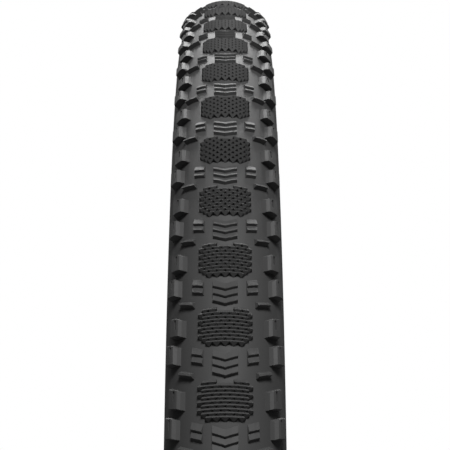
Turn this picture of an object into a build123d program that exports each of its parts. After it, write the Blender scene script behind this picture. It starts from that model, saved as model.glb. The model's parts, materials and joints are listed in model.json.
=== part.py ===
from build123d import *
from math import acos, atan2, cos, degrees, hypot, pi, radians, sin
import os

# Bicycle tyre, bead seat 622 mm, 50 mm wide when fitted.
# Millimetres. The origin is the wheel's centre, the axle runs along Y and +Z is up.
# A cross-section is drawn in the XY plane, where x is the distance from the axle and y the
# distance from the centre plane, and is turned about the Y axis. Section angles are measured
# about the centre of the air chamber, from the crown towards the left side (+Y).

# driving dimensions
BEAD_SEAT_R = 311.0  # the rim's bead seat, radius
SECTION_R = 25.0  # outside of the rubber at crown and sidewalls, radius of the section
PITCH_LENGTH = 32.6  # one repeat of the tread pattern along the crown

# wall of the tyre, from the inside out
LINER_T = 0.40
INNER_PLY_T = 0.45
OUTER_PLY_T = 0.45
RUBBER_T = 1.40  # tread rubber under the blocks, and sidewall
BELT_T = 0.50
BELT_HALF_ANGLE = 40.0
TREAD_HALF_ANGLE = 80.0  # where the tread rubber meets the sidewall

# bead
BEAD_LEAN = 145.0  # section angle at which the inner plies run straight to the bead
BEAD_STRAIGHT = 4.0  # from there to the bead core
CORE_R = 1.6
CORE_GAP = 0.05  # rubber film between the core and the plies
SEAT_RUBBER = 1.6  # between the core and the bead seat
CHAFER_T = 0.75
CHAFER_LIP_T = 0.6  # where the chafer turns up inside the toe
CHAFER_TOP = 3.0  # straight part of the sidewall above the chafer
CHAFER_LIP_UP = 3.5
PLY_PAST_CORE = 1.5
PLY_OFF_SEAT = 1.2
HEEL_H = 1.5
HEEL_CHAMFER = 0.95
TOE_CHAMFER = 0.7
TOE_PAST_LIP = 0.35
FILLER_TIP_ANGLE = 5.0  # past the point where the plies part
FILLER_OFF_CORE = 0.3

WALL_RUNS = 8  # straight runs that stand for the sidewall's round
FILLER_RUNS = 3

# tread blocks: outlines as (lateral, forward) points from the block's own centre, then that
# centre's lateral place and its place along the pitch, both measured on the tread surface
PATCH_H = 1.8
PATCH_AT = (0.0, 0.0)
PATCH_HALF_W = 11.8
PATCH_HALF_L = 9.2
PATCH_FRONT_HALF_W = 7.5
PATCH_REAR_HALF_W = 8.8
PATCH_CORNER_L = 3.6

CHEVRON_H = 1.5
CHEVRON_AT = (0.0, -17.35)
CHEVRON_HALF_W = 5.5
CHEVRON_RISE = 1.9
CHEVRON_LENGTH = 10.35

BAR_H = 1.4
BAR_AT = (11.85, -11.9)
BAR_W = 5.7
BAR_L = 6.7
BAR_SLANT = 2.0

LINK_H = 1.7
LINK_AT = (16.9, 12.1)
LINK_W = 7.8
LINK_INNER_L = 4.3
LINK_OUTER_L = 3.4
LINK_SLANT = 2.8

INNER_KNOB_H = 2.7
INNER_KNOB_AT = (23.0, 2.85)
INNER_KNOB = [(-5.6, -6.1), (-0.4, -2.8), (5.5, -1.2), (5.5, 6.1), (1.0, 5.0), (-5.6, 2.8)]

OUTER_KNOB_H = 2.9
OUTER_KNOB_AT = (26.2, -8.45)
OUTER_KNOB = [(-5.9, -6.1), (-0.2, -3.4), (5.8, -0.9), (5.8, 6.1), (-0.7, 4.0), (-5.9, 2.75)]

BLOCK_SWING = 4.0  # half of the turned slice that a block is cut from, degrees
BLOCK_REACH = 6.0  # how far the block's outline is carried through the tread surface

# radii of the section's layers
LINER_OUT = SECTION_R - RUBBER_T - OUTER_PLY_T - INNER_PLY_T
LINER_IN = LINER_OUT - LINER_T
INNER_PLY_OUT = LINER_OUT + INNER_PLY_T
OUTER_PLY_OUT = INNER_PLY_OUT + OUTER_PLY_T

# the bead core, from the centre of the section
CORE_OFF = INNER_PLY_OUT + CORE_R + CORE_GAP
CORE_Y = CORE_OFF * sin(radians(BEAD_LEAN)) + BEAD_STRAIGHT * cos(radians(BEAD_LEAN))
CORE_DROP = -CORE_OFF * cos(radians(BEAD_LEAN)) + BEAD_STRAIGHT * sin(radians(BEAD_LEAN))
SECTION_CENTRE_R = BEAD_SEAT_R + SEAT_RUBBER + CORE_R + CORE_DROP
CORE_CENTRE_R = SECTION_CENTRE_R - CORE_DROP
CROWN_R = SECTION_CENTRE_R + SECTION_R

# section angle at which the outer ply leaves the round, so that it just clears the core
CORE_FROM_CENTRE = hypot(CORE_Y, CORE_DROP)
CORE_ANGLE = degrees(atan2(CORE_Y, -CORE_DROP))
OUTER_LEAN = CORE_ANGLE - degrees(acos((INNER_PLY_OUT - CORE_R - CORE_GAP) / CORE_FROM_CENTRE))

# the pattern repeats a whole number of times
PITCHES = round(2 * pi * (CROWN_R + PATCH_H) / PITCH_LENGTH)
PITCH_ANGLE = 360.0 / PITCHES

CENTRE = (SECTION_CENTRE_R, 0)
AXLE = Axis.Y

os.makedirs("parts", exist_ok=True)


def on_section(radius, angle, along=0.0):
    """Point of the section at a radius and section angle, carried on along the tangent."""
    a = radians(angle)
    return (
        SECTION_CENTRE_R + radius * cos(a) - along * sin(a),
        radius * sin(a) + along * cos(a),
    )


def straight_to(radius, angle, level):
    """Length of the tangent at a section angle down to a given distance from the axle."""
    a = radians(angle)
    return (SECTION_CENTRE_R + radius * cos(a) - level) / sin(a)


def chords_inside(radius, start, sweep, count):
    """Points of straight runs that lie inside an arc of the section and meet on it."""
    return [on_section(radius, start + sweep * k / count) for k in range(count + 1)]


def tangents_outside(radius, start, sweep, count):
    """Points of straight runs that lie outside an arc of the section and touch it."""
    step = sweep / count
    out = radius / cos(radians(step / 2))
    corners = [on_section(out, start + step * (k + 0.5)) for k in range(count)]
    return [on_section(radius, start), *corners, on_section(radius, start + sweep)]


def save(part, label):
    """Name a finished piece and write it."""
    part.label = label
    export_step(part, f"parts/{label}.step")


def wrapped_layer(inside, outside, lean, straight, label):
    """A layer that runs from bead to bead: round over the crown, then straight."""
    with BuildPart() as layer:
        with BuildSketch(Plane.XY):
            with BuildLine():
                outer = CenterArc(CENTRE, outside, 0, lean)
                inner = CenterArc(CENTRE, inside, 0, lean)
                outer_end = Line(outer @ 1, on_section(outside, lean, straight))
                inner_end = Line(inner @ 1, on_section(inside, lean, straight))
                Line(outer_end @ 1, inner_end @ 1)
                Line(outer @ 0, inner @ 0)
            make_face()
            mirror(about=Plane.XZ)
        revolve(axis=AXLE)
    save(layer.part, label)


def both_sides(half, name):
    """Write a left-hand piece and its mirror image on the right."""
    save(half, f"{name}_left")
    save(half.mirror(Plane.XZ), f"{name}_right")


# casing, from the inside out
inner_straight = BEAD_STRAIGHT + PLY_PAST_CORE
outer_straight = straight_to(INNER_PLY_OUT, OUTER_LEAN, BEAD_SEAT_R + PLY_OFF_SEAT)
wrapped_layer(LINER_IN, LINER_OUT, BEAD_LEAN, inner_straight, "inner_liner")
wrapped_layer(LINER_OUT, INNER_PLY_OUT, BEAD_LEAN, inner_straight, "casing_inner_ply")
wrapped_layer(INNER_PLY_OUT, OUTER_PLY_OUT, OUTER_LEAN, outer_straight, "casing_outer_ply")

# puncture belt, on the casing under the middle of the tread
with BuildPart() as puncture_belt:
    with BuildSketch(Plane.XY):
        with BuildLine():
            top = CenterArc(CENTRE, OUTER_PLY_OUT + BELT_T, -BELT_HALF_ANGLE, 2 * BELT_HALF_ANGLE)
            under = CenterArc(CENTRE, OUTER_PLY_OUT, -BELT_HALF_ANGLE, 2 * BELT_HALF_ANGLE)
            Line(top @ 0, under @ 0)
            Line(top @ 1, under @ 1)
        make_face()
    revolve(axis=AXLE)
save(puncture_belt.part, "puncture_belt")

# tread cap, the rubber that carries the blocks, recessed for the belt
with BuildPart() as tread_cap:
    with BuildSketch(Plane.XY):
        with BuildLine():
            road = CenterArc(CENTRE, SECTION_R, -TREAD_HALF_ANGLE, 2 * TREAD_HALF_ANGLE)
            seat = CenterArc(CENTRE, OUTER_PLY_OUT, -TREAD_HALF_ANGLE, 2 * TREAD_HALF_ANGLE)
            Line(road @ 0, seat @ 0)
            Line(road @ 1, seat @ 1)
        make_face()
    revolve(axis=AXLE)
    add(puncture_belt.part, mode=Mode.SUBTRACT)
save(tread_cap.part, "tread_cap")

# sidewall, from the edge of the tread to the chafer
with BuildPart() as sidewall:
    with BuildSketch(Plane.XY):
        with BuildLine():
            sweep_angle = OUTER_LEAN - TREAD_HALF_ANGLE
            outside = Polyline(*chords_inside(SECTION_R, TREAD_HALF_ANGLE, sweep_angle, WALL_RUNS))
            inside = Polyline(
                *tangents_outside(OUTER_PLY_OUT, TREAD_HALF_ANGLE, sweep_angle, WALL_RUNS)
            )
            outside_end = Line(outside @ 1, on_section(SECTION_R, OUTER_LEAN, CHAFER_TOP))
            inside_end = Line(inside @ 1, on_section(OUTER_PLY_OUT, OUTER_LEAN, CHAFER_TOP))
            Line(outside_end @ 1, inside_end @ 1)
            Line(outside @ 0, inside @ 0)
        make_face()
    revolve(axis=AXLE)
both_sides(sidewall.part, "sidewall")

# bead core, a closed hoop of cord
with BuildPart() as bead_core:
    with BuildSketch(Plane.XY):
        with Locations((CORE_CENTRE_R, CORE_Y)):
            Circle(CORE_R)
    revolve(axis=AXLE)
both_sides(bead_core.part, "bead_core")

# bead filler, the soft wedge between the plies above the core
filler_tip = OUTER_LEAN + FILLER_TIP_ANGLE
filler_foot = BEAD_STRAIGHT - CORE_R - FILLER_OFF_CORE
tip_along = INNER_PLY_OUT * sin(radians(FILLER_TIP_ANGLE))
foot_level = on_section(INNER_PLY_OUT, BEAD_LEAN, filler_foot)[0]
foot_along = straight_to(INNER_PLY_OUT, OUTER_LEAN, foot_level - FILLER_OFF_CORE)
with BuildPart() as bead_filler:
    with BuildSketch(Plane.XY):
        with BuildLine():
            against = Polyline(
                *tangents_outside(
                    INNER_PLY_OUT, filler_tip, BEAD_LEAN - filler_tip, FILLER_RUNS
                )
            )
            foot = Line(against @ 1, on_section(INNER_PLY_OUT, BEAD_LEAN, filler_foot))
            outer_foot = Line(foot @ 1, on_section(INNER_PLY_OUT, OUTER_LEAN, foot_along))
            back = Line(outer_foot @ 1, on_section(INNER_PLY_OUT, OUTER_LEAN, tip_along))
            Line(back @ 1, against @ 0)
        make_face()
    revolve(axis=AXLE)
both_sides(bead_filler.part, "bead_filler")

# chafer, the hard strip that wraps the bead and sits on the rim
heel_along = straight_to(OUTER_PLY_OUT + CHAFER_T, OUTER_LEAN, BEAD_SEAT_R + HEEL_H)
heel = on_section(OUTER_PLY_OUT + CHAFER_T, OUTER_LEAN, heel_along)
lip = on_section(LINER_IN - CHAFER_LIP_T, BEAD_LEAN, inner_straight)
toe_y = lip[1] - TOE_PAST_LIP
seat_from_y = toe_y + TOE_CHAMFER
seat_to_y = heel[1] - HEEL_CHAMFER
outer_ply_end = on_section(INNER_PLY_OUT, OUTER_LEAN, outer_straight)


def around_core(point):
    """Angle of a point of the section about the bead core, from the seat side round under the core."""
    angle = degrees(atan2(Vector(point).Y - CORE_Y, Vector(point).X - CORE_CENTRE_R))
    return angle if angle < 0 else angle - 360


with BuildPart() as chafer:
    with BuildSketch(Plane.XY):
        with BuildLine():
            outer_face = Line(on_section(SECTION_R, OUTER_LEAN, CHAFER_TOP), heel)
            round_heel = Line(outer_face @ 1, (BEAD_SEAT_R, seat_to_y))
            seat = Line(round_heel @ 1, (BEAD_SEAT_R, seat_from_y))
            toe = Line(seat @ 1, (BEAD_SEAT_R + TOE_CHAMFER, toe_y))
            up = Line(toe @ 1, lip)
            lip_along = inner_straight - CHAFER_LIP_UP
            lip_face = Line(up @ 1, on_section(LINER_IN - CHAFER_LIP_T, BEAD_LEAN, lip_along))
            lip_end = Line(lip_face @ 1, on_section(LINER_IN, BEAD_LEAN, lip_along))
            on_liner = Line(lip_end @ 1, on_section(LINER_IN, BEAD_LEAN, inner_straight))
            ply_ends = Line(on_liner @ 1, on_section(INNER_PLY_OUT, BEAD_LEAN, inner_straight))
            under_core = CenterArc(
                (CORE_CENTRE_R, CORE_Y),
                CORE_R + CORE_GAP,
                around_core(ply_ends @ 1),
                around_core(outer_ply_end) - around_core(ply_ends @ 1),
            )
            Line(ply_ends @ 1, under_core @ 0)
            to_outer_ply = Line(under_core @ 1, outer_ply_end)
            ply_end = Line(to_outer_ply @ 1, on_section(OUTER_PLY_OUT, OUTER_LEAN, outer_straight))
            on_ply = Line(ply_end @ 1, on_section(OUTER_PLY_OUT, OUTER_LEAN, CHAFER_TOP))
            Line(on_ply @ 1, outer_face @ 0)
        make_face()
    revolve(axis=AXLE)
both_sides(chafer.part, "chafer")


def block(outline, place, height):
    """One tread block: an outline carried out from the tread surface, topped by a parallel surface."""
    lateral, along = place
    angle = degrees(lateral / SECTION_R)
    reach = degrees(max(abs(point[0]) for point in outline) / SECTION_R) + BLOCK_SWING
    turned = Plane.XY.rotated((0, BLOCK_SWING, 0))
    a = radians(angle)
    face = Plane(
        origin=(*on_section(SECTION_R, angle), 0),
        x_dir=(-sin(a), cos(a), 0),
        z_dir=(cos(a), sin(a), 0),
    )
    with BuildPart() as solid:
        with BuildSketch(turned):
            with BuildLine():
                top = CenterArc(CENTRE, SECTION_R + height, angle - reach, 2 * reach)
                foot = CenterArc(CENTRE, SECTION_R, angle - reach, 2 * reach)
                Line(top @ 0, foot @ 0)
                Line(top @ 1, foot @ 1)
            make_face()
        revolve(axis=AXLE, revolution_arc=-2 * BLOCK_SWING)
        with BuildSketch(face):
            with BuildLine():
                Polyline(*outline, close=True)
            make_face()
        extrude(amount=BLOCK_REACH, both=True, mode=Mode.INTERSECT)
    return solid.part.rotate(AXLE, -degrees(along / CROWN_R))


def row_of(master, label):
    """Copy a block to every pitch of the tread and write the row as one node."""
    with BuildPart() as row:
        add([master.rotate(AXLE, PITCH_ANGLE * k) for k in range(PITCHES)])
    save(row.part, label)


def paired_rows(outline, place, height, name):
    """A row of blocks on the left of the tread and its mirror image on the right."""
    master = block(outline, place, height)
    row_of(master, f"{name}_left")
    row_of(master.mirror(Plane.XZ), f"{name}_right")


# centre patch, with clipped corners
patch_outline = [
    (-PATCH_FRONT_HALF_W, -PATCH_HALF_L),
    (PATCH_FRONT_HALF_W, -PATCH_HALF_L),
    (PATCH_HALF_W, PATCH_CORNER_L - PATCH_HALF_L),
    (PATCH_HALF_W, PATCH_HALF_L - PATCH_CORNER_L),
    (PATCH_REAR_HALF_W, PATCH_HALF_L),
    (-PATCH_REAR_HALF_W, PATCH_HALF_L),
    (-PATCH_HALF_W, PATCH_HALF_L - PATCH_CORNER_L),
    (-PATCH_HALF_W, PATCH_CORNER_L - PATCH_HALF_L),
]
row_of(block(patch_outline, PATCH_AT, PATCH_H), "centre_patches")

# stack of chevrons between two patches
chevron_outline = [
    (0, -CHEVRON_LENGTH / 2),
    (CHEVRON_HALF_W, CHEVRON_RISE - CHEVRON_LENGTH / 2),
    (CHEVRON_HALF_W, CHEVRON_RISE + CHEVRON_LENGTH / 2),
    (0, CHEVRON_LENGTH / 2),
    (-CHEVRON_HALF_W, CHEVRON_RISE + CHEVRON_LENGTH / 2),
    (-CHEVRON_HALF_W, CHEVRON_RISE - CHEVRON_LENGTH / 2),
]
row_of(block(chevron_outline, CHEVRON_AT, CHEVRON_H), "centre_chevrons")

# pair of slanted bars beside the chevrons
bar_outline = [
    (-BAR_W / 2, -(BAR_L + BAR_SLANT) / 2),
    (BAR_W / 2, (BAR_SLANT - BAR_L) / 2),
    (BAR_W / 2, (BAR_L + BAR_SLANT) / 2),
    (-BAR_W / 2, (BAR_L - BAR_SLANT) / 2),
]
paired_rows(bar_outline, BAR_AT, BAR_H, "slanted_bars")

# bar that links the patch to the shoulder
link_outline = [
    (-LINK_W / 2, -(LINK_SLANT + LINK_OUTER_L) / 2),
    (LINK_W / 2, (LINK_SLANT - LINK_OUTER_L) / 2),
    (LINK_W / 2, (LINK_SLANT + LINK_OUTER_L) / 2),
    (-LINK_W / 2, LINK_INNER_L - (LINK_SLANT + LINK_OUTER_L) / 2),
]
paired_rows(link_outline, LINK_AT, LINK_H, "link_bars")

# the two rows of shoulder knobs
paired_rows(INNER_KNOB, INNER_KNOB_AT, INNER_KNOB_H, "inner_shoulder_knobs")
paired_rows(OUTER_KNOB, OUTER_KNOB_AT, OUTER_KNOB_H, "outer_shoulder_knobs")

print(f"section centre {SECTION_CENTRE_R:.3f}, crown {CROWN_R:.3f}, pitches {PITCHES}")
print(f"outer plies run straight from {OUTER_LEAN:.2f} degrees, core at y {CORE_Y:.3f}")
print(f"bead seat wall from y {seat_from_y:.3f} to {seat_to_y:.3f}")
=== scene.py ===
"""Knobbly bicycle tyre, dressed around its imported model.

The tyre's cross-section is worked out in millimetres about the centre of its air chamber and
turned about the axle, which is the Y axis. Tread blocks are shaped flat, as (lateral, forward,
height) from the tread surface, and then wrapped on to the tread and repeated round the tyre.
"""

import json
import logging
import math
from dataclasses import dataclass, field
from enum import Enum
from typing import Callable, Iterable, Sequence

import bmesh
import bpy
from mathutils import Euler, Matrix, Vector

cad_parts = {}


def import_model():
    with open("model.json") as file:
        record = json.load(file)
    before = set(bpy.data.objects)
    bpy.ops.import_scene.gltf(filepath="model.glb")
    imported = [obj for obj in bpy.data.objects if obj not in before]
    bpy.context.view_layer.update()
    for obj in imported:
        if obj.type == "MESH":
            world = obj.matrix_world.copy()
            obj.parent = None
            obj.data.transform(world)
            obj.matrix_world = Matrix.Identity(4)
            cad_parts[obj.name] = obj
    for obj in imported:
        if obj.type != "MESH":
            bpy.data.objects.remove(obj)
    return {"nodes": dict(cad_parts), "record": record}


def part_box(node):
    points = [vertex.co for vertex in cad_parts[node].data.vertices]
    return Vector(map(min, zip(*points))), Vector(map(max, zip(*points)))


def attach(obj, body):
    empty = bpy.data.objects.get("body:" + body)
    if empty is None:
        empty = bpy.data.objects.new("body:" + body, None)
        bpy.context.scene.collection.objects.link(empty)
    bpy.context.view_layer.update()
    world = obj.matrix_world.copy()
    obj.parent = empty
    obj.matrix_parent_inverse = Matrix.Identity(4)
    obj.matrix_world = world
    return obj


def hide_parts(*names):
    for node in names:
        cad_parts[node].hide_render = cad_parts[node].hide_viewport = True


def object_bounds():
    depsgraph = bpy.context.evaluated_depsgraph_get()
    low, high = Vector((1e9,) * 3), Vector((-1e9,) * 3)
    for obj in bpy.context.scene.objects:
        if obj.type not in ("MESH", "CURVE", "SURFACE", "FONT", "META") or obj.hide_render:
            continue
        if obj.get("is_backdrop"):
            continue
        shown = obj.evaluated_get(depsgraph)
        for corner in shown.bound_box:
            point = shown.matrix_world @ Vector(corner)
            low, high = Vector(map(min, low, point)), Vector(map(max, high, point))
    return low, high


LOG = logging.getLogger("tyre")
MM = 0.001
AXLE = Vector((0.0, 1.0, 0.0))
WHITE = (1.0, 1.0, 1.0, 1.0)
BODY = "root"
SHARP_ANGLE = math.radians(28.0)
NEAR = 0.1  # mm, closer than any two corners of a block that are told apart
WELD = 0.001  # mm, corners this close on the crown are one

# noise scales, per metre
CLOUD_SCALE = 60.0
PIT_SCALE = 900.0
FUZZ_SCALE = 1400.0
GRAIN_SCALE = 2600.0

# metres
RAISED_FROM, RAISED_TO = 0.0002, 0.0026
MOULD_DEPTH = 0.00012
THREAD_DEPTH = 0.0001

# input and output sockets of a Mix node that mixes colours
MIX_FACTOR, MIX_FIRST, MIX_SECOND, MIX_RESULT = 0, 6, 7, 2


class Side(Enum):
    """The side of the tyre that a piece is on, as the sign of Y."""

    LEFT = 1
    RIGHT = -1

    @property
    def word(self) -> str:
        """Name of the side as it stands at the end of a piece's name."""
        return self.name.lower()


class Slot(Enum):
    """The record's material slots."""

    TREAD = "tread"
    SIDEWALL = "sidewall"
    CHAFER = "chafer"
    FILLER = "filler"
    LINER = "liner"
    BEAD_CORD = "bead_cord"
    CASING_FABRIC = "casing_fabric"
    BELT_FABRIC = "belt_fabric"


# ---------------------------------------------------------------------------------------------
# shader expressions


class Wire:
    """One output socket or number, with the operators that build Math nodes."""

    def __init__(self, graph: "Graph", value: "bpy.types.NodeSocket | float") -> None:
        """Keep the socket or number and the graph that it belongs to."""
        self.graph = graph
        self.value = value

    def _math(self, operation: str, *others: "Wire | float") -> "Wire":
        """Add a Math node over this wire and others.

        Args:
            operation: the Math node's operation.
            others: the remaining operands.

        Returns:
            The node's result.
        """
        return self.graph.add("ShaderNodeMath", {"operation": operation}, self, *others)

    def __add__(self, other: "Wire | float") -> "Wire":
        """Sum."""
        return self._math("ADD", other)

    def __radd__(self, other: float) -> "Wire":
        """Sum with a number on the left."""
        return self._math("ADD", other)

    def __sub__(self, other: "Wire | float") -> "Wire":
        """Difference."""
        return self._math("SUBTRACT", other)

    def __mul__(self, other: "Wire | float") -> "Wire":
        """Product."""
        return self._math("MULTIPLY", other)

    def __rmul__(self, other: float) -> "Wire":
        """Product with a number on the left."""
        return self._math("MULTIPLY", other)

    def root(self) -> "Wire":
        """Square root."""
        return self._math("SQRT")

    def wave(self) -> "Wire":
        """Sine."""
        return self._math("SINE")

    def angle_from(self, other: "Wire | float") -> "Wire":
        """Angle whose tangent is this wire over another."""
        return self._math("ARCTAN2", other)

    def ramp(self, low: float, high: float) -> "Wire":
        """Smooth step of this wire.

        Args:
            low: value that gives 0.
            high: value that gives 1.

        Returns:
            0 to 1.
        """
        settings = {"interpolation_type": "SMOOTHSTEP"}
        return self.graph.add("ShaderNodeMapRange", settings, self, low, high, 0.0, 1.0)


class Graph:
    """The node tree of one material or world."""

    def __init__(self, owner: "bpy.types.Material | bpy.types.World") -> None:
        """Empty the owner's node tree and keep it.

        Args:
            owner: the material or world.
        """
        owner.use_nodes = True
        self.tree = owner.node_tree
        self.tree.nodes.clear()

    def node(self, kind: str, settings: dict, *values: object) -> bpy.types.Node:
        """Add any node.

        Args:
            kind: the node's type name.
            settings: attributes that are set before the inputs.
            values: a wire, number or tuple for each input in order, or None to leave it.

        Returns:
            The node.
        """
        made = self.tree.nodes.new(kind)
        for name, value in settings.items():
            setattr(made, name, value)
        for socket, value in zip(made.inputs, values):
            self.feed(socket, value)
        return made

    def add(self, kind: str, settings: dict, *values: object) -> Wire:
        """Add any node and give its first output."""
        return Wire(self, self.node(kind, settings, *values).outputs[0])

    def feed(self, socket: bpy.types.NodeSocket, value: object) -> None:
        """Link or set one input.

        Args:
            socket: the input.
            value: a wire, a number, a tuple, or None to leave it alone.
        """
        if isinstance(value, Wire):
            value = value.value
        if value is None:
            return
        if isinstance(value, bpy.types.NodeSocket):
            self.tree.links.new(value, socket)
        else:
            socket.default_value = value

    def object_point(self) -> Wire:
        """Position on the object, which is also the position in the frame."""
        made = self.node("ShaderNodeTexCoord", {})
        return Wire(self, made.outputs["Object"])

    def axes(self, point: Wire) -> tuple[Wire, Wire, Wire]:
        """The three numbers of a position."""
        made = self.node("ShaderNodeSeparateXYZ", {}, point)
        return tuple(Wire(self, output) for output in made.outputs)

    def noise(self, point: Wire, scale: float, detail: float = 3.0) -> Wire:
        """Noise from 0 to 1.

        Args:
            point: where it is read.
            scale: how fine it is, per metre.
            detail: octaves.

        Returns:
            The noise value.
        """
        made = self.node("ShaderNodeTexNoise", {"noise_dimensions": "3D"}, point)
        made.inputs["Scale"].default_value = scale
        made.inputs["Detail"].default_value = detail
        return Wire(self, made.outputs["Fac"])

    def mixed(self, mask: Wire, dark: Sequence[float], light: Sequence[float]) -> Wire:
        """Colour between two colours.

        Args:
            mask: 0 for the first, 1 for the second.
            dark: red, green and blue of the first.
            light: red, green and blue of the second.

        Returns:
            The colour.
        """
        made = self.node("ShaderNodeMix", {"data_type": "RGBA"})
        self.feed(made.inputs[MIX_FACTOR], mask)
        self.feed(made.inputs[MIX_FIRST], (*dark, 1.0))
        self.feed(made.inputs[MIX_SECOND], (*light, 1.0))
        return Wire(self, made.outputs[MIX_RESULT])

    def bumped(self, height: Wire, strength: float, distance: float) -> Wire:
        """Normal tilted by a height.

        Args:
            height: height from 0 to 1.
            strength: how much of it shows.
            distance: what a height of 1 stands for, in metres.

        Returns:
            The normal.
        """
        made = self.node("ShaderNodeBump", {})
        made.inputs["Strength"].default_value = strength
        made.inputs["Distance"].default_value = distance
        self.feed(made.inputs["Height"], height)
        return Wire(self, made.outputs["Normal"])


# ---------------------------------------------------------------------------------------------
# finishes


@dataclass(frozen=True)
class Section:
    """The tyre's cross-section and the way that its tread repeats, in millimetres."""

    crown_r: float
    round_r: float = 25.0
    pitches: int = 70

    @property
    def centre_r(self) -> float:
        """Distance from the axle to the centre of the air chamber."""
        return self.crown_r - self.round_r

    def point(self, lateral: float, forward: float, height: float) -> Vector:
        """Place on the tread in the frame, in metres.

        Args:
            lateral: distance from the crown, along the tread surface.
            forward: distance along the crown from the front of the tyre, upwards.
            height: distance out from the tread surface.

        Returns:
            The place.
        """
        across = lateral / self.round_r
        around = forward / self.crown_r
        out = self.round_r + height
        radius = self.centre_r + out * math.cos(across)
        return MM * Vector(
            (radius * math.cos(around), out * math.sin(across), radius * math.sin(around))
        )

    def on_ring(self, radius: float, degrees: float, along: float = 0.0) -> Vector:
        """Point of the section in the XY plane, in metres.

        Args:
            radius: distance from the centre of the air chamber.
            degrees: section angle from the crown.
            along: distance carried on along the tangent.

        Returns:
            The point, with x as the distance from the axle.
        """
        turn = math.radians(degrees)
        return MM * Vector(
            (
                self.centre_r + radius * math.cos(turn) - along * math.sin(turn),
                radius * math.sin(turn) + along * math.cos(turn),
                0.0,
            )
        )


@dataclass(frozen=True)
class RubberFinish:
    """Moulded rubber: grey level, gloss and the grain of the mould."""

    name: str
    tone: float
    raised_tone: float
    roughness: float
    grain: float = 0.35
    specular: float = 0.5
    weave: float = 0.0
    height_share: float = 0.35

    def material(self, section: Section) -> bpy.types.Material:
        """Build the rubber.

        Args:
            section: the cross-section that the pattern follows.

        Returns:
            The material.
        """
        made = bpy.data.materials.new(self.name)
        graph = Graph(made)
        point = graph.object_point()
        x, y, z = graph.axes(point)
        radius = (x * x + z * z).root()
        inward = radius - section.centre_r * MM
        out = (inward * inward + y * y).root()
        height = (out - section.round_r * MM).ramp(RAISED_FROM, RAISED_TO)
        clouds = graph.noise(point, CLOUD_SCALE, 4.0)
        grain = graph.noise(point, GRAIN_SCALE, 2.0)
        pits = graph.noise(point, PIT_SCALE)
        # colour runs lighter the further a face stands out from the tread surface, blended with
        # random cloudy patches
        raised_and_clouds = height * self.height_share + clouds * (1.0 - self.height_share)
        colour = graph.mixed(raised_and_clouds, (self.tone,) * 3, (self.raised_tone,) * 3)
        roughness = self.roughness + (clouds - 0.5) * 0.16 + (pits - 0.5) * 0.10
        relief = grain * 0.5 + pits * 0.5
        if self.weave:
            across = y.angle_from(inward) * (section.round_r * MM)
            around = z.angle_from(x) * (section.crown_r * MM)
            pace = 2.0 * math.pi / self.weave
            one = ((around + across) * pace).wave()
            other = ((around - across) * pace).wave()
            relief = relief * 0.5 + (one * other) * 0.25 + 0.25
        shader = graph.node("ShaderNodeBsdfPrincipled", {})
        shader.inputs["Specular IOR Level"].default_value = self.specular
        graph.feed(shader.inputs["Base Color"], colour)
        graph.feed(shader.inputs["Roughness"], roughness)
        graph.feed(shader.inputs["Normal"], graph.bumped(relief, self.grain, MOULD_DEPTH))
        graph.node("ShaderNodeOutputMaterial", {}, Wire(graph, shader.outputs[0]))
        return made


@dataclass(frozen=True)
class ClothFinish:
    """Rubbered cord fabric, whose threads cross at 45 degrees to the tyre's run."""

    name: str
    low: tuple[float, float, float]
    high: tuple[float, float, float]
    thread: float

    def material(self, section: Section) -> bpy.types.Material:
        """Build the fabric.

        Args:
            section: the cross-section that the threads follow.

        Returns:
            The material.
        """
        made = bpy.data.materials.new(self.name)
        graph = Graph(made)
        point = graph.object_point()
        x, y, z = graph.axes(point)
        radius = (x * x + z * z).root()
        across = y.angle_from(radius - section.centre_r * MM) * (section.round_r * MM)
        around = z.angle_from(x) * (section.crown_r * MM)
        pace = 2.0 * math.pi / self.thread
        threads = ((around + across) * pace).wave() * 0.5 + 0.5
        fuzz = graph.noise(point, FUZZ_SCALE, 2.0)
        shader = graph.node("ShaderNodeBsdfPrincipled", {})
        graph.feed(shader.inputs["Base Color"], graph.mixed(threads, self.low, self.high))
        graph.feed(shader.inputs["Roughness"], 0.62 + (fuzz - 0.5) * 0.2)
        relief = threads * 0.8 + fuzz * 0.2
        graph.feed(shader.inputs["Normal"], graph.bumped(relief, 0.5, THREAD_DEPTH))
        graph.node("ShaderNodeOutputMaterial", {}, Wire(graph, shader.outputs[0]))
        return made


FINISHES: dict[Slot, RubberFinish | ClothFinish] = {
    Slot.TREAD: RubberFinish("tread_rubber", 0.068, 0.074, 0.62, specular=0.35),
    Slot.SIDEWALL: RubberFinish("sidewall_rubber", 0.050, 0.060, 0.52, weave=0.0011),
    Slot.CHAFER: RubberFinish("chafer_rubber", 0.035, 0.045, 0.62, weave=0.0008),
    Slot.FILLER: RubberFinish("filler_rubber", 0.040, 0.050, 0.60),
    Slot.LINER: RubberFinish("liner_rubber", 0.045, 0.055, 0.42, grain=0.2),
    Slot.BEAD_CORD: ClothFinish("aramid_cord", (0.50, 0.38, 0.10), (0.74, 0.62, 0.26), 0.0006),
    Slot.CASING_FABRIC: ClothFinish("casing_cord", (0.10, 0.09, 0.08), (0.20, 0.17, 0.14), 0.0007),
    Slot.BELT_FABRIC: ClothFinish("belt_cord", (0.28, 0.26, 0.23), (0.42, 0.40, 0.36), 0.0005),
}


# ---------------------------------------------------------------------------------------------
# mesh helpers


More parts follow.
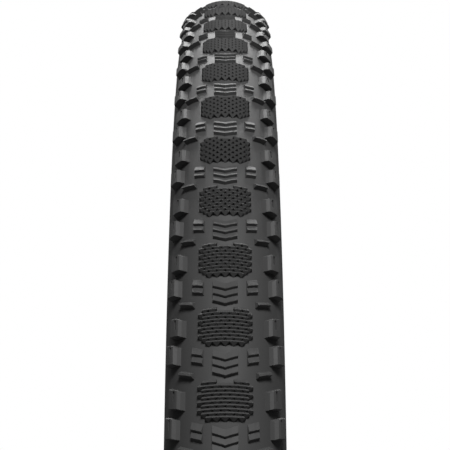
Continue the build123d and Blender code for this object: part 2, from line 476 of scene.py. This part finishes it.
def finished(
    mesh_data: bmesh.types.BMesh, name: str, node: str, slot: Slot, smooth: bool
) -> bpy.types.Object:
    """Turn a bmesh into a piece that stands for a node.

    Args:
        mesh_data: the shape, in the frame, in metres. It is freed.
        name: the piece's name.
        node: the node that it stands for.
        slot: its material slot.
        smooth: whether faces are shaded round, apart from sharp edges.

    Returns:
        The piece.
    """
    bmesh.ops.recalc_face_normals(mesh_data, faces=mesh_data.faces)
    for face in mesh_data.faces:
        face.smooth = smooth
    for edge in mesh_data.edges:
        edge.smooth = edge.calc_face_angle(math.pi) < SHARP_ANGLE
    mesh = bpy.data.meshes.new(name)
    mesh_data.to_mesh(mesh)
    mesh_data.free()
    piece = bpy.data.objects.new(name, mesh)
    bpy.context.scene.collection.objects.link(piece)
    mesh.materials.append(bpy.data.materials[FINISHES[slot].name])
    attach(piece, BODY)
    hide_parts(node)
    LOG.info("%s: %d faces, in place of %s", name, len(mesh.polygons), node)
    return piece


def lofted(
    outline: Sequence[tuple[float, float]], stations: Sequence[float]
) -> bmesh.types.BMesh:
    """Carry a closed outline through some stations.

    Args:
        outline: (x, z) of its corners, counter-clockwise.
        stations: y of each copy, the first to the last.

    Returns:
        A closed bmesh.
    """
    made = bmesh.new()
    corners = [made.verts.new((x, stations[0], z)) for x, z in outline]
    cap = made.faces.new(corners)
    for previous, here in zip(stations, stations[1:]):
        grown = bmesh.ops.extrude_face_region(made, geom=[cap])["geom"]
        fresh = [item for item in grown if isinstance(item, bmesh.types.BMVert)]
        bmesh.ops.translate(made, vec=(0.0, here - previous, 0.0), verts=fresh)
        kept = [item for item in grown if isinstance(item, bmesh.types.BMFace)]
        # the first cap stays as the closed end, and later ones would be walls inside
        if previous != stations[0]:
            made.faces.remove(cap)
        cap = kept[0]
    bmesh.ops.recalc_face_normals(made, faces=made.faces)
    return made


def reshaped(shape: bmesh.types.BMesh, rule: Callable[[Vector], Vector]) -> None:
    """Move every vertex of a shape by a rule."""
    for vert in shape.verts:
        vert.co = rule(vert.co)


def joined(shapes: Iterable[bmesh.types.BMesh]) -> bmesh.types.BMesh:
    """Put several shapes in one bmesh.

    Args:
        shapes: the shapes, which are freed.

    Returns:
        All of them, each still a shape of its own.
    """
    made = bmesh.new()
    for shape in shapes:
        carrier = bpy.data.meshes.new("carrier")
        shape.to_mesh(carrier)
        shape.free()
        made.from_mesh(carrier)
        bpy.data.meshes.remove(carrier)
    return made


# ---------------------------------------------------------------------------------------------
# tread blocks


@dataclass
class BlockRow:
    """A family of tread blocks: one master, wrapped on to the tread and repeated at every pitch."""

    section: Section
    node: str
    sides: tuple[Side, ...] = ()

    def master(self) -> bmesh.types.BMesh:
        """The block, flat, as (lateral, forward, height) in millimetres."""
        raise NotImplementedError

    def build(self) -> list[bpy.types.Object]:
        """Wrap, repeat and dress the row, on one side or on both.

        Returns:
            The pieces.
        """
        pieces = []
        for side in self.sides or (None,):
            shape = self.master()
            if side is Side.RIGHT:
                bmesh.ops.scale(shape, vec=(-1.0, 1.0, 1.0), verts=shape.verts)
            reshaped(shape, lambda place: self.section.point(*place))
            share = (self.section.pitches - 1) / self.section.pitches
            bmesh.ops.spin(
                shape,
                geom=[*shape.verts, *shape.edges, *shape.faces],
                cent=(0.0, 0.0, 0.0),
                axis=AXLE,
                angle=2.0 * math.pi * share,
                steps=self.section.pitches - 1,
                use_duplicate=True,
            )
            node = f"{self.node}_{side.word}" if side else self.node
            pieces.append(finished(shape, f"{node}_moulded", node, Slot.TREAD, False))
        return pieces


@dataclass
class GripPatches(BlockRow):
    """Patches of staggered teeth, each a ramp that rises to a crest over a pointed front.

    Rows run across the tread, row 0 at the front, and alternate rows are half a pace aside.
    """

    node: str = "centre_patches"
    pace: float = 3.36
    row_pace: float = 1.654
    height: float = 1.7
    rows: int = 10
    half_width: float = 10.4
    front_half_width: float = 7.0
    rear_gap: float = 3.5
    rear_half_width: float = 8.8
    point_length: float = 1.6
    ramp_length: float = 1.6
    ramp_end: float = 0.3
    end_clip: float = 0.8
    rear_clip: float = 1.3
    clearance: float = 0.005
    front_end: float = 0.03
    reach: int = 4

    def places(self) -> list[tuple[float, float, float]]:
        """Middle of each tooth's crest.

        Returns:
            (lateral, forward, end) of each, with end as -1 or 1 for the last tooth on that side.
        """
        found = []
        for row in range(self.rows):
            forward = (row - (self.rows - 1) / 2) * self.row_pace
            offset = self.pace / 2 * (row % 2)
            limit = self.front_half_width if row == 0 else self.half_width
            if row == self.rows - 1:
                limit = self.rear_half_width
            for step in range(-self.reach, self.reach + 1):
                lateral = step * self.pace + offset
                bare = row == self.rows - 1 and abs(lateral) < self.rear_gap
                if abs(lateral) <= limit and not bare:
                    last = abs(lateral) + self.pace > limit
                    end = math.copysign(1.0, lateral) if last else 0.0
                    found.append((lateral, forward, end))
        return found

    def master(self) -> bmesh.types.BMesh:
        """One patch."""
        made = bmesh.new()
        for lateral, forward, end in self.places():
            self.add_tooth(made, Vector((lateral, forward, 0.0)), end)
        return made

    def add_tooth(self, patch: bmesh.types.BMesh, middle: Vector, end: float) -> None:
        """Raise one tooth.

        Args:
            patch: the patch it is added to.
            middle: middle of its crest, on the tread surface.
            end: -1 or 1 where its outer side is clipped, as the last of its row.
        """
        half = self.pace / 2 - self.clearance
        foot = [
            (-half, 0.0),
            (0.0, -self.point_length),
            (half, 0.0),
            (half, self.ramp_length),
            (-half, self.ramp_length),
        ]
        corners = [patch.verts.new(middle + Vector((x, y, 0.0))) for x, y in foot]
        base = patch.faces.new(corners)
        grown = bmesh.ops.extrude_face_region(patch, geom=[base])["geom"]
        top = [item for item in grown if isinstance(item, bmesh.types.BMVert)]
        crest = [vert for vert in top if abs(vert.co.y - middle.y) < NEAR]
        for vert in top:
            along = vert.co.y - middle.y
            if vert in crest:
                vert.co.z = self.height
                if end * (vert.co.x - middle.x) > NEAR:
                    vert.co.x -= end * self.end_clip
            else:
                vert.co.z = self.ramp_end if along > 0.0 else self.front_end
        for vert in [*top, *corners]:
            at_rear = vert.co.y - middle.y > NEAR
            if at_rear and end * (vert.co.x - middle.x) > NEAR:
                vert.co.x -= end * self.end_clip * self.rear_clip
        bmesh.ops.connect_verts(patch, verts=crest)


@dataclass
class Teeth(BlockRow):
    """Ramps that stand one behind another, each rising to a steep front edge."""

    count: int = 3
    pace: float = 3.47
    crest: float = 1.35
    saddle: float = 0.12
    length: float = 3.4
    front_lean: float = 0.8
    inner: float = 0.0
    outer: float = 5.3
    slant: float = 0.345
    first_front: float = -15.35
    edge: float = 0.12
    end_lean: float = 0.35
    thinnest: float = 0.02

    def ramp(self, number: int) -> bmesh.types.BMesh:
        """One ramp.

        Args:
            number: 0 for the rearmost.

        Returns:
            The ramp, from the inner to the outer end, as (lateral, forward, height), not yet
            slanted.
        """
        front = -self.pace * number
        back = 0.0 if number == 0 else self.saddle
        side = [
            (front - self.front_lean, 0.0),
            (front + self.length, 0.0),
            (front + self.length, max(back, self.thinnest)),
            (front + self.edge, self.crest),
            (front - self.edge / 2, self.crest - self.edge),
        ]
        width = self.outer - self.inner
        shape = lofted(side, [0.0, width / 2, width])

        def lay(place: Vector) -> Vector:
            """Lay the ramp across the tread and lean its free ends.

            Args:
                place: (forward, distance from the inner end, height).

            Returns:
                (lateral, forward, height).
            """
            lean = self.end_lean * place.z / self.crest
            inward = lean if place.y > 0.9 * width else 0.0
            if self.inner and place.y < 0.1 * width:
                inward = -lean
            return Vector((place.y + self.inner - inward, place.x, place.z))

        reshaped(shape, lay)
        return shape

    def master(self) -> bmesh.types.BMesh:
        """The stack of ramps on one side of the tyre."""
        made = joined(self.ramp(number) for number in range(self.count))
        reshaped(
            made,
            lambda place: Vector(
                (
                    place.x,
                    place.y + self.first_front + self.slant * (place.x - self.inner),
                    place.z,
                )
            ),
        )
        return made


@dataclass
class Chevrons(Teeth):
    """Teeth whose two arms meet on the crown."""

    node: str = "centre_chevrons"

    def master(self) -> bmesh.types.BMesh:
        """Both arms of the stack."""
        arms = super().master()
        bmesh.ops.mirror(
            arms,
            geom=[*arms.verts, *arms.edges, *arms.faces],
            axis="X",
            merge_dist=WELD,
        )
        inside = [
            face for face in arms.faces if all(abs(vert.co.x) < WELD for vert in face.verts)
        ]
        bmesh.ops.delete(arms, geom=inside, context="FACES_ONLY")
        bmesh.ops.remove_doubles(arms, verts=arms.verts, dist=WELD)
        return arms


@dataclass
class SlantedBars(Teeth):
    """Pairs of short teeth beside the chevrons."""

    node: str = "slanted_bars"
    sides: tuple[Side, ...] = (Side.LEFT, Side.RIGHT)
    count: int = 2
    crest: float = 1.3
    saddle: float = 0.12
    inner: float = 9.0
    outer: float = 14.2
    slant: float = 0.351
    first_front: float = -12.95


@dataclass
class LinkBars(BlockRow):
    """Single bars between a patch and the shoulder, with a long rear slope."""

    node: str = "link_bars"
    sides: tuple[Side, ...] = (Side.LEFT, Side.RIGHT)
    inner: float = 13.0
    outer: float = 19.8
    front: float = 10.9
    slant: float = 0.36
    height: float = 2.1
    flat: float = 0.9
    rear_slope: float = 1.3
    front_lean: float = 0.9
    rear_step: float = 0.1
    crest_fall: float = 0.15
    end_lean: float = 0.35

    def master(self) -> bmesh.types.BMesh:
        """The left bar."""
        side = [
            (-self.front_lean, 0.0),
            (self.flat + self.rear_slope, 0.0),
            (self.flat + self.rear_slope, self.rear_step),
            (self.flat, self.height - self.crest_fall),
            (0.0, self.height),
        ]
        width = self.outer - self.inner
        shape = lofted(side, [0.0, width / 2, width])

        def place_bar(place: Vector) -> Vector:
            """Slant the bar and lean its inner end.

            Args:
                place: (forward, lateral, height).

            Returns:
                (lateral, forward, height).
            """
            lean = self.end_lean * place.z / self.height if place.y < width / 4 else 0.0
            lateral = self.inner + place.y + lean
            return Vector((lateral, self.front + place.x + self.slant * place.y, place.z))

        reshaped(shape, place_bar)
        return shape


@dataclass
class ShoulderKnobs(BlockRow):
    """Tall knobs with a slot and a chamfered rear, at the edge of the tread."""

    sides: tuple[Side, ...] = (Side.LEFT, Side.RIGHT)
    # (lateral, height, front, rear) of each corner of the top, from the centre outwards
    top: tuple[tuple[float, float, float, float], ...] = ()
    slot_between: tuple[int, int] = (2, 3)
    slot_span: tuple[float, float] = (0.36, 0.87)
    slot_depth: float = 1.9
    inner_foot: float = 17.4
    outer_foot: float = 25.0
    wall_lean: float = 0.1
    rear_chamfer: float = 0.9
    chamfer_from: float = 0.93
    end_share: float = 0.01
    chamfered_above: float = 1.0

    def master(self) -> bmesh.types.BMesh:
        """The left knob."""
        laterals = [self.inner_foot, *[corner[0] for corner in self.top], self.outer_foot]
        heights = [0.0, *[corner[1] for corner in self.top], 0.0]
        fronts = [self.top[0][2], *[corner[2] for corner in self.top], self.top[-1][2]]
        rears = [self.top[0][3], *[corner[3] for corner in self.top], self.top[-1][3]]
        outline = list(zip(laterals, heights))
        low, high = self.slot_span
        shape = lofted(outline[::-1], [0.0, low, high, self.chamfer_from, 1.0])
        self.cut_slot(shape, laterals)
        tallest = max(heights)

        def place_knob(place: Vector) -> Vector:
            """Carry a corner from its share of the knob's length to its place.

            Args:
                place: (lateral, share of the length, height).

            Returns:
                (lateral, forward, height).
            """
            spot = min(range(len(laterals)), key=lambda k: abs(laterals[k] - place.x))
            front, rear = fronts[spot], rears[spot]
            forward = front + (rear - front) * place.y
            height = place.z
            lean = self.wall_lean * (tallest - height) / tallest
            if place.y < self.end_share:
                forward -= lean
            if place.y > 1.0 - self.end_share:
                forward += lean
                if height > self.chamfered_above:
                    height = max(0.0, height - self.rear_chamfer)
            return Vector((place.x, forward, height))

        reshaped(shape, place_knob)
        bmesh.ops.recalc_face_normals(shape, faces=shape.faces)
        return shape

    def cut_slot(self, shape: bmesh.types.BMesh, laterals: Sequence[float]) -> None:
        """Sink the slot into the top.

        Args:
            shape: the knob before its ends are shaped.
            laterals: lateral place of each corner of its outline.
        """
        first, last = (laterals[k + 1] for k in self.slot_between)
        low, high = self.slot_span
        middle = Vector(((first + last) / 2, (low + high) / 2, 0.0))
        roof = [face for face in shape.faces if face.normal.z > 0.5]
        floor = min(roof, key=lambda face: (face.calc_center_median().xy - middle.xy).length)
        sunk = bmesh.ops.extrude_discrete_faces(shape, faces=[floor])["faces"][0]
        bmesh.ops.translate(shape, vec=(0.0, 0.0, -self.slot_depth), verts=sunk.verts)


@dataclass
class InnerShoulderKnobs(ShoulderKnobs):
    """Knobs beside the patches."""

    node: str = "inner_shoulder_knobs"
    top: tuple[tuple[float, float, float, float], ...] = (
        (18.2, 2.1, -2.3, 5.6),
        (19.4, 3.0, -1.8, 6.4),
        (20.5, 3.1, -1.5, 7.1),
        (21.5, 3.1, -1.2, 7.4),
        (24.0, 3.0, -0.6, 8.4),
    )
    inner_foot: float = 17.4
    outer_foot: float = 25.4


@dataclass
class OuterShoulderKnobs(ShoulderKnobs):
    """Knobs beside the chevrons, on the edge of the tread."""

    node: str = "outer_shoulder_knobs"
    top: tuple[tuple[float, float, float, float], ...] = (
        (20.9, 1.7, -14.2, -6.0),
        (21.9, 3.0, -13.8, -5.1),
        (22.9, 3.2, -13.5, -4.6),
        (23.8, 3.2, -13.3, -4.3),
        (26.6, 3.1, -12.6, -3.4),
    )
    inner_foot: float = 20.2
    outer_foot: float = 28.0


# ---------------------------------------------------------------------------------------------
# rings


@dataclass
class Rings:
    """The tread cap and the sidewalls with their mould lines, each turned about the axle."""

    section: Section
    wall: float = 1.4
    tread_edge: float = 80.0
    steps: int = 280
    lean: float = 123.02
    chafer_top: float = 3.0
    cap_points: int = 56
    wall_points: int = 160
    ribs: tuple[float, ...] = (84.0, 86.2, 113.0, 115.5, 118.0)
    rib_height: float = 0.22
    rib_spread: float = 0.35

    def turned(
        self, outline: Sequence[Vector], name: str, node: str, slot: Slot
    ) -> bpy.types.Object:
        """Turn a closed outline about the axle.

        Args:
            outline: corners of the outline, in the XY plane.
            name: the piece's name.
            node: the node that it stands for.
            slot: its material slot.

        Returns:
            The piece.
        """
        made = bmesh.new()
        corners = [made.verts.new(point) for point in outline]
        edges = [
            made.edges.new((corner, corners[(place + 1) % len(corners)]))
            for place, corner in enumerate(corners)
        ]
        bmesh.ops.spin(
            made,
            geom=[*corners, *edges],
            cent=(0.0, 0.0, 0.0),
            axis=AXLE,
            angle=2.0 * math.pi,
            steps=self.steps,
            use_merge=True,
        )
        bmesh.ops.remove_doubles(made, verts=made.verts, dist=1e-6)
        return finished(made, name, node, slot, True)

    def tread_cap(self) -> bpy.types.Object:
        """The rubber band that carries the blocks."""
        points = self.cap_points
        sweep = [self.tread_edge * (2 * k / points - 1) for k in range(points + 1)]
        outer = [self.section.on_ring(self.section.round_r, degrees) for degrees in sweep]
        under = self.section.round_r - self.wall
        inner = [self.section.on_ring(under, degrees) for degrees in sweep[::-4]]
        return self.turned([*outer, *inner], "tread_cap_moulded", "tread_cap", Slot.TREAD)

    def sidewall(self, side: Side) -> bpy.types.Object:
        """One sidewall, with raised lines where the mould halves and the bead ring met.

        Args:
            side: left or right.

        Returns:
            The piece.
        """
        points = self.wall_points
        span = self.lean - self.tread_edge
        outer = []
        for k in range(points + 1):
            degrees = self.tread_edge + span * k / points
            offsets = ((degrees - rib) / self.rib_spread for rib in self.ribs)
            rise = sum(self.rib_height * math.exp(-(offset**2)) for offset in offsets)
            outer.append(self.section.on_ring(self.section.round_r + rise, degrees))
        outer.append(self.section.on_ring(self.section.round_r, self.lean, self.chafer_top))
        under = self.section.round_r - self.wall
        inner = [self.section.on_ring(under, self.lean, self.chafer_top)]
        for k in range(points, -1, -8):
            inner.append(self.section.on_ring(under, self.tread_edge + span * k / points))
        outline = [Vector((p.x, p.y * side.value, 0.0)) for p in [*outer, *inner]]
        node = f"sidewall_{side.word}"
        return self.turned(outline, f"{node}_moulded", node, Slot.SIDEWALL)


# ---------------------------------------------------------------------------------------------
# studio


@dataclass(frozen=True)
class AreaLamp:
    """A soft box that points at the tyre."""

    name: str
    degrees: float
    distance: float
    width: float
    length: float
    watts: float
    aim: tuple[float, float, float]
    lateral: float = 0.0

    def hang(self) -> None:
        """Hang the lamp. Its degrees are measured about Y, from the front (+X) over the top."""
        data = bpy.data.lights.new(self.name, "AREA")
        data.shape = "RECTANGLE"
        data.size = self.width
        data.size_y = self.length
        data.energy = self.watts
        lamp = bpy.data.objects.new(self.name, data)
        bpy.context.scene.collection.objects.link(lamp)
        turn = math.radians(self.degrees)
        aim = Vector(self.aim)
        where = aim + Vector(
            (self.distance * math.cos(turn), self.lateral, self.distance * math.sin(turn))
        )
        lamp.location = where
        lamp.rotation_euler = (aim - where).to_track_quat("-Z", "Y").to_euler()


@dataclass
class Studio:
    """Floor, background, lamps and camera."""

    section: Section
    lens: float = 119.25
    distance: float = 0.9477
    elevation: float = 13.617
    aim_above_centre: float = 13.989
    sensor: float = 36.0
    shift: float = -0.0005
    ambient: float = 0.07
    floor_radius: float = 14.0
    floor_paint: float = 0.14
    near_glow: float = 0.62
    fade: tuple[float, float] = (0.5, 1.3)
    lamps: tuple[AreaLamp, ...] = field(
        default_factory=lambda: (
            AreaLamp("overhead", 60.0, 2.4, 0.8, 0.8, 46.0, (0.2, 0.0, 0.15), 0.2),
            AreaLamp("behind", 126.0, 2.2, 1.6, 0.8, 78.0, (0.0, 0.0, 0.25)),
        )
    )

    def camera(self) -> None:
        """Stand the camera in front of the tyre, a little above its axle."""
        data = bpy.data.cameras.new("camera")
        data.lens = self.lens
        data.sensor_width = self.sensor
        data.clip_end = 100.0
        data.shift_x = self.shift
        stand = bpy.data.objects.new("camera", data)
        bpy.context.scene.collection.objects.link(stand)
        rise = math.radians(self.elevation)
        stand.location = self.distance * Vector((math.cos(rise), 0.0, math.sin(rise)))
        tilt = math.radians(90.0 + self.aim_above_centre - self.elevation)
        stand.rotation_euler = Euler((tilt, 0.0, math.radians(90.0)), "XYZ")
        bpy.context.scene.camera = stand

    def world(self) -> None:
        """A dim room that shows as plain white."""
        world = bpy.data.worlds.new("room")
        bpy.context.scene.world = world
        graph = Graph(world)
        path = graph.node("ShaderNodeLightPath", {})
        seen = Wire(graph, path.outputs["Is Camera Ray"])
        seen = seen + Wire(graph, path.outputs["Is Transmission Ray"])
        strength = self.ambient + (1.0 - self.ambient) * seen
        shade = graph.add("ShaderNodeBackground", {}, WHITE, strength)
        graph.node("ShaderNodeOutputWorld", {}, shade)

    def floor(self, level: float) -> None:
        """A pale floor under the tyre, white where the camera looks past its shadow.

        Args:
            level: height of the floor, in metres.
        """
        shape = bmesh.new()
        place = Matrix.Translation((0.0, 0.0, level))
        bmesh.ops.create_circle(
            shape, cap_ends=True, segments=96, radius=self.floor_radius, matrix=place
        )
        mesh = bpy.data.meshes.new("floor")
        shape.to_mesh(mesh)
        shape.free()
        floor = bpy.data.objects.new("floor", mesh)
        bpy.context.scene.collection.objects.link(floor)
        made = bpy.data.materials.new("pale_floor")
        mesh.materials.append(made)
        graph = Graph(made)
        x, y, _ = graph.axes(graph.object_point())
        away = (x * x + y * y).root().ramp(*self.fade)
        path = graph.node("ShaderNodeLightPath", {})
        seen = Wire(graph, path.outputs["Is Camera Ray"])
        grey = (self.floor_paint, self.floor_paint, self.floor_paint, 1.0)
        paint = graph.add("ShaderNodeBsdfDiffuse", {}, grey, 0.5)
        glow = graph.add("ShaderNodeEmission", {}, WHITE, 1.0)
        near = graph.add("ShaderNodeEmission", {}, WHITE, self.near_glow)
        lit = graph.add("ShaderNodeAddShader", {}, near, paint)
        shown = graph.add("ShaderNodeMixShader", {}, away, lit, glow)
        both = graph.add("ShaderNodeMixShader", {}, seen, paint, shown)
        graph.node("ShaderNodeOutputMaterial", {}, both)
        floor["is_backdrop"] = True

    def build(self, level: float) -> None:
        """Set the whole studio up.

        Args:
            level: height of the floor, in metres.
        """
        bpy.context.scene.view_settings.view_transform = "Standard"
        self.camera()
        self.world()
        self.floor(level)
        for lamp in self.lamps:
            lamp.hang()


# ---------------------------------------------------------------------------------------------
# assembly


def dress_nodes(frame: dict) -> None:
    """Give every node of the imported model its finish.
    """
    slot_of = {part["node"]: Slot(part["material_slot"]) for part in frame["record"]["subparts"]}
    for name, node in frame["nodes"].items():
        finish = bpy.data.materials[FINISHES[slot_of[name]].name]
        if not node.material_slots:
            node.data.materials.append(finish)
        for slot in node.material_slots:
            slot.material = finish


def main() -> None:
    """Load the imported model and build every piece."""
    logging.basicConfig(level=logging.INFO, format="%(name)s %(message)s")
    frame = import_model()
    packed_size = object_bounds()
    section = Section(crown_r=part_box("tread_cap")[1].x / MM)
    LOG.info("crown radius %.3f mm", section.crown_r)
    Studio(section).build(packed_size[0][2])
    for finish in FINISHES.values():
        finish.material(section)
    dress_nodes(frame)
    rings = Rings(section)
    rings.tread_cap()
    for side in Side:
        rings.sidewall(side)
    rows: tuple[BlockRow, ...] = (
        GripPatches(section),
        Chevrons(section),
        SlantedBars(section),
        LinkBars(section),
        InnerShoulderKnobs(section),
        OuterShoulderKnobs(section),
    )
    for row in rows:
        row.build()


if __name__ == "__main__":
    main()
